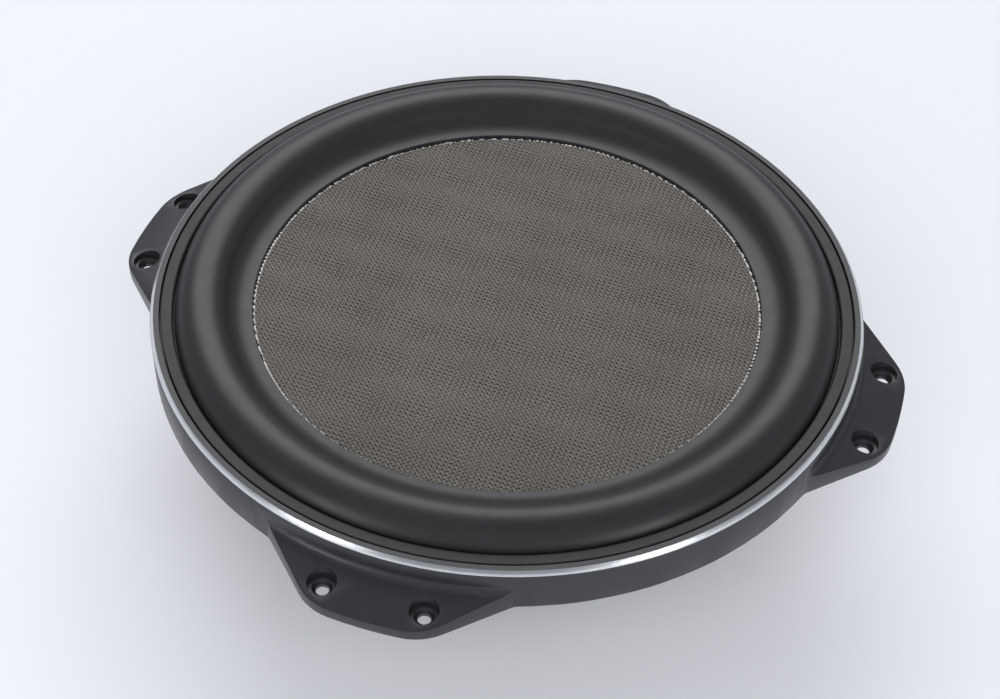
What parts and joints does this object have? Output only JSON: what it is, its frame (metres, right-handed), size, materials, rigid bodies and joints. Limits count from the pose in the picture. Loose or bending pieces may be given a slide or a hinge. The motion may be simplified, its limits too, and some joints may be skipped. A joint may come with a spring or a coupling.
{
  "type": "car subwoofer speaker",
  "caption": "Shallow round subwoofer: flat woven cone, wide rubber half-roll surround, black cast frame with bright rim chamfer and mounting ears, ferrite motor behind.",
  "frame": {"origin": "centre of the magnet boot's flat back face", "axes": "+Z along the cone axis towards the listener; the four mounting ears lie on +X, +Y, -X and -Y"},
  "size_m": [0.324, 0.324, 0.1065],
  "materials": {
    "cast_black": "black coated casting, fine satin",
    "gasket_rubber": "matt",
    "roll_rubber": "matt with a soft sheen",
    "woven_fibre": "plain weave, resin filled",
    "cone_paper": "pressed pulp, black",
    "spider_cloth": "resin stiffened cloth",
    "moulded_black": "fine satin",
    "moulded_red": "fine satin",
    "former_foil": "rolled foil",
    "copper_wire": "enamelled copper",
    "kraft_paper": "kraft paper",
    "steel_zinc": "zinc plated steel",
    "steel_black": "black plated steel",
    "ferrite": "sintered ferrite, ground",
    "boot_rubber": "moulded, satin",
    "shorting_alu": "turned",
    "brass_strip": "stamped",
    "braid_copper": "braided tinsel"
  },
  "bodies": {
    "frame": {"basket": "cast_black", "front_gasket": "gasket_rubber", "surround": "roll_rubber", "spider": "spider_cloth", "spider_clamp_ring": "moulded_black", "yoke": "steel_black", "shorting_ring": "shorting_alu", "ferrite_magnet": "ferrite", "top_plate": "steel_black", "magnet_boot": "boot_rubber", "vent_screen": "steel_black", "base_screws": "steel_zinc", "terminal_block_right": "moulded_black", "terminal_screws_right": "steel_zinc", "contact_right_plus": "brass_strip", "tinsel_lead_right_plus": "braid_copper", "button_spring_right_plus": "steel_zinc", "contact_right_minus": "brass_strip", "tinsel_lead_right_minus": "braid_copper", "button_spring_right_minus": "steel_zinc", "terminal_block_left": "moulded_black", "terminal_screws_left": "steel_zinc", "contact_left_plus": "brass_strip", "tinsel_lead_left_plus": "braid_copper", "button_spring_left_plus": "steel_zinc", "contact_left_minus": "brass_strip", "tinsel_lead_left_minus": "braid_copper", "button_spring_left_minus": "steel_zinc"},
    "cone": {"woven_skin": "woven_fibre", "cone_body": "cone_paper", "neck_ring": "moulded_black", "drive_tube": "kraft_paper", "coil_former": "former_foil", "coil_winding_inner": "copper_wire", "coil_winding_outer": "copper_wire", "coil_wrap": "kraft_paper"},
    "button_right_plus": {"push_button_right_plus": "moulded_red"},
    "button_right_minus": {"push_button_right_minus": "moulded_black"},
    "button_left_plus": {"push_button_left_plus": "moulded_red"},
    "button_left_minus": {"push_button_left_minus": "moulded_black"}
  },
  "joints": [
    {"name": "cone_travel", "type": "slide", "parent": "frame", "child": "cone", "axis": [0, 0, 1], "range_m": [-0.012, 0.012], "stiffness_N_per_m": 5200, "deforming": ["surround", "spider", "tinsel_lead_right_plus", "tinsel_lead_right_minus", "tinsel_lead_left_plus", "tinsel_lead_left_minus"]},
    {"name": "press_right_plus", "type": "slide", "parent": "frame", "child": "button_right_plus", "axis": [0, 0, 1], "range_m": [0, 0.003], "stiffness_N_per_m": 900, "springref_m": -0.001, "deforming": ["button_spring_right_plus"]},
    {"name": "press_right_minus", "type": "slide", "parent": "frame", "child": "button_right_minus", "axis": [0, 0, 1], "range_m": [0, 0.003], "stiffness_N_per_m": 900, "springref_m": -0.001, "deforming": ["button_spring_right_minus"]},
    {"name": "press_left_plus", "type": "slide", "parent": "frame", "child": "button_left_plus", "axis": [0, 0, 1], "range_m": [0, 0.003], "stiffness_N_per_m": 900, "springref_m": -0.001, "deforming": ["button_spring_left_plus"]},
    {"name": "press_left_minus", "type": "slide", "parent": "frame", "child": "button_left_minus", "axis": [0, 0, 1], "range_m": [0, 0.003], "stiffness_N_per_m": 900, "springref_m": -0.001, "deforming": ["button_spring_left_minus"]}
  ]
}
